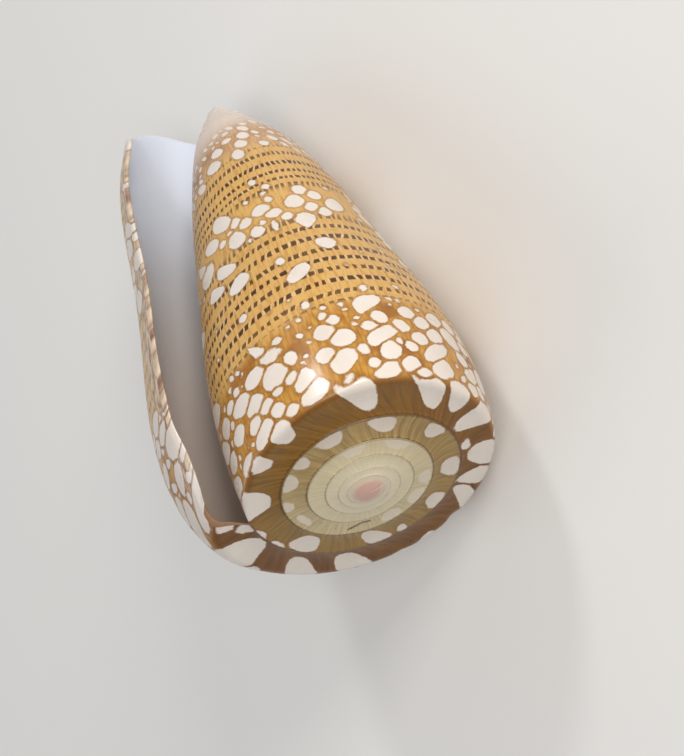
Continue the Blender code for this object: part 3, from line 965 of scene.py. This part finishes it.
# Rows of dots: dark dashes with pinkish gaps between them, each dash of its own length
row_parts = node(tree, "ShaderNodeSeparateXYZ", _0=rows_map)
row_share = calc(tree, "ROUND", row_parts.outputs["Y"])
row_off = calc(tree, "SUBTRACT", row_parts.outputs["Y"], row_share)
row_far = calc(tree, "ABSOLUTE", row_off)
row_play = calc(tree, "MULTIPLY_ADD", streaks, ROW_PLAY, row_far)
band = soft_step(tree, row_play, ROW_HALF + ROW_SOFT, ROW_HALF - ROW_SOFT)
jog = node(tree, "ShaderNodeTexNoise", Vector=place, Scale=1 / JOG_LONG, Detail=1.0)
dot_place = calc(tree, "MULTIPLY_ADD", jog, JOG_BY, row_parts.outputs["X"])
dot_number = calc(tree, "FLOOR", dot_place)
dot_share = calc(tree, "FRACT", dot_place)
dot_key = node(tree, "ShaderNodeCombineXYZ", _0=dot_number, _1=row_share)
dot_chance = node(tree, "ShaderNodeTexWhiteNoise", {"noise_dimensions": "2D"}, Vector=dot_key)
dot_middle = calc(tree, "SUBTRACT", dot_share, 0.5)
dot_far = calc(tree, "ABSOLUTE", dot_middle)
dot_half = calc(tree, "MULTIPLY_ADD", dot_chance, DOT_PLAY, DOT_HALF)
dot_in = calc(tree, "SUBTRACT", dot_half, dot_far)
dash = soft_step(tree, dot_in, -0.05, 0.06)
row_strong = calc(tree, "MULTIPLY", band, zone_parts)
dark = calc(tree, "MULTIPLY", row_strong, dash)
gap = calc(tree, "SUBTRACT", row_strong, dark)
gap_play = node(tree, "ShaderNodeMapRange", Value=dot_chance, From_Min=0.3, To_Max=0.6)
pale_gap = calc(tree, "MULTIPLY", gap, gap_play)
with_gaps = blend(tree, pale_gap, ground, linear(GAP_PINK))
with_dots = blend(tree, dark, with_gaps, linear(DOT_BROWN))

# Ramps of the spire: plain brown near the lip, paler and greyer inwards
arc = calc(tree, "MULTIPLY", down_of, down_of)
bowed = calc(tree, "MULTIPLY_ADD", arc, LINE_BOW, turn_of)
line_place = node(tree, "ShaderNodeCombineXYZ", _0=bowed, _1=down_of)
line_mapped = node(tree, "ShaderNodeMapping", Vector=line_place, Scale=(LINES_PER_TURN, LINES_PER_MM, 1.0))
lines = node(tree, "ShaderNodeTexNoise", Vector=line_mapped, Scale=1.0, Detail=3.0, Roughness=0.65)
line_tone = node(tree, "ShaderNodeMapRange", Value=lines, From_Min=0.3, From_Max=0.7, To_Min=0.66,
                 To_Max=1.3)
lined = node(tree, "ShaderNodeVectorMath", {"operation": "SCALE"}, _0=ramp_colour, Scale=line_tone)
smoother = node(tree, "ShaderNodeMapRange", Value=turn_of, From_Min=1.7, From_Max=2.6, To_Max=0.7)
ramped = blend(tree, smoother, lined, ramp_colour)
on_ramp = soft_step(tree, down_of, 0.5, -0.5)
spired = node(tree, "ShaderNodeMapRange", Value=turn_of, From_Min=0.99, From_Max=1.01)
is_ramp = calc(tree, "MAXIMUM", on_ramp, spired)
either = blend(tree, is_ramp, with_dots, ramped)
from_edge = calc(tree, "ABSOLUTE", down_of)
edge_near = soft_step(tree, from_edge, 1.1, 0.1)
edge_free = node(tree, "ShaderNodeMath", {"operation": "SUBTRACT", "use_clamp": True}, _0=edge_near,
                 _1=spired)
edge_share = calc(tree, "MULTIPLY", edge_free, streaks)
browns = blend(tree, edge_share, either, linear(SHOULDER_BROWN))
# Painted sheen: a paler mauve over the sides by the lip, where the hazy light falls, kept off the ramps
lip_sheen_share = node(tree, "ShaderNodeMath", {"operation": "SUBTRACT", "use_clamp": True},
                _0=zone.outputs["Alpha"], _1=is_ramp)
lip_sheen_tinted = blend(tree, lip_sheen_share, browns, lip_sheen_tones)
brimmed = blend(tree, brim, lip_sheen_tinted, linear(NET_DARK))
inner_whorls = node(tree, "ShaderNodeMapRange", Value=turn_of, From_Min=0.9, From_Max=1.9, To_Min=1.0,
                    To_Max=0.0)
brim_kept = blend(tree, inner_whorls, lip_sheen_tinted, brimmed)

# White of the tents, which fades on the oldest whorls, and the pale front end
milk = blend(tree, clouds, linear(TENT_SHADE), linear(TENT_WHITE))
fading = node(tree, "ShaderNodeMapRange", Value=turn_of, From_Min=1.0, From_Max=3.0, To_Min=1.0,
              To_Max=0.35)
white_kept = calc(tree, "MULTIPLY", white, fading)
marked = blend(tree, white_kept, brim_kept, milk)
pale_share = calc(tree, "MULTIPLY", zone_parts.outputs[2], 0.85)
front = blend(tree, pale_share, marked, linear(FRONT_PINK))

# Painted shade along the sutures' grooves where one whorl meets the next, the hairlines and the pink
# nucleus
seam = node(tree, "ShaderNodeAttribute", {"attribute_name": "seams"})
seam_parts = node(tree, "ShaderNodeSeparateColor", _0=seam.outputs["Color"])
crimp = calc(tree, "MULTIPLY_ADD", lines, CRIMP, -CRIMP / 2)
near_seam = calc(tree, "MINIMUM", seam_parts, seam_parts.outputs[1])
seam_edge = calc(tree, "ADD", near_seam, crimp)
# The suture's dark line is painted shade in its groove and on the riser, fainter on the inner whorls
seam_left = calc(tree, "SUBTRACT", SUTURE_HALF, seam_edge)
suture = soft_step(tree, seam_left, -SUTURE_SOFT, SUTURE_SOFT)
seam_shown = node(tree, "ShaderNodeMapRange", Value=turn_of, From_Min=1.6, From_Max=4.6, To_Min=0.7,
                  To_Max=0.12)
suture_shade_kept = calc(tree, "MULTIPLY", suture, seam_shown)
crack = soft_step(tree, seam_parts.outputs[2], HAIRLINE_WIDE, HAIRLINE_CORE, 0.85)
crack_and_suture_shade = calc(tree, "MAXIMUM", suture_shade_kept, crack)
blush = soft_step(tree, seam.outputs["Alpha"], PINK_ENDS, PINK_FULL, 0.85)
pinked = blend(tree, blush, front, linear(NUCLEUS_PINK))
finished = blend(tree, crack_and_suture_shade, pinked, linear(CRACK_BROWN_AND_SUTURE_SHADE))
tree.links.new(finished, surface.inputs["Base Color"])

relief = node(tree, "ShaderNodeBump", Strength=0.5, Distance=MICRO_RELIEF, Height=lines)
gloss = node(tree, "ShaderNodeMapRange", Value=clouds, From_Min=0.3, From_Max=0.7, To_Min=0.24,
             To_Max=0.38)
tree.links.new(relief.outputs[0], surface.inputs["Normal"])
tree.links.new(gloss.outputs[0], surface.inputs["Roughness"])
surface.inputs["IOR"].default_value = 1.5
surface.inputs["Specular IOR Level"].default_value = 0.34
surface.inputs["Coat Weight"].default_value = 0.12
surface.inputs["Coat Roughness"].default_value = 0.12
shell_mesh.materials.append(glaze)

# Porcelain lining: the smooth white inner layer, laid down last by the animal, bluish in the open
# front and warm grey deeper in, under a wet-looking gloss.
LINING_STOPS = ((0.0, "#e2cebe"), (0.35, "#ddd0c6"), (0.6, "#d8d4d4"), (0.8, "#d4d8e0"), (1.0, "#d3d9e6"))
RIM_CREAM = "#d9c8ac"
RIM_WIDE = 0.004
porcelain = bpy.data.materials.new("porcelain_lining")
porcelain.use_nodes = True
tree = porcelain.node_tree
surface = tree.nodes["Principled BSDF"]
growth_map = node(tree, "ShaderNodeUVMap", {"uv_map": "growth"}).outputs["UV"]
parts = node(tree, "ShaderNodeSeparateXYZ", _0=growth_map)
along = calc(tree, "DIVIDE", parts.outputs["Y"], BODY_LENGTH / MM)
lining = tone_ramp(tree, along, LINING_STOPS)
near_rim = soft_step(tree, parts.outputs["X"], RIM_WIDE, 0.0)
rimmed = blend(tree, near_rim, lining, linear(RIM_CREAM))
tree.links.new(rimmed, surface.inputs["Base Color"])
surface.inputs["Roughness"].default_value = 0.28
surface.inputs["IOR"].default_value = 1.55
surface.inputs["Coat Weight"].default_value = 0.3
surface.inputs["Coat Roughness"].default_value = 0.1
shell_mesh.materials.append(porcelain)

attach(shell, "root")
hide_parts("shell")
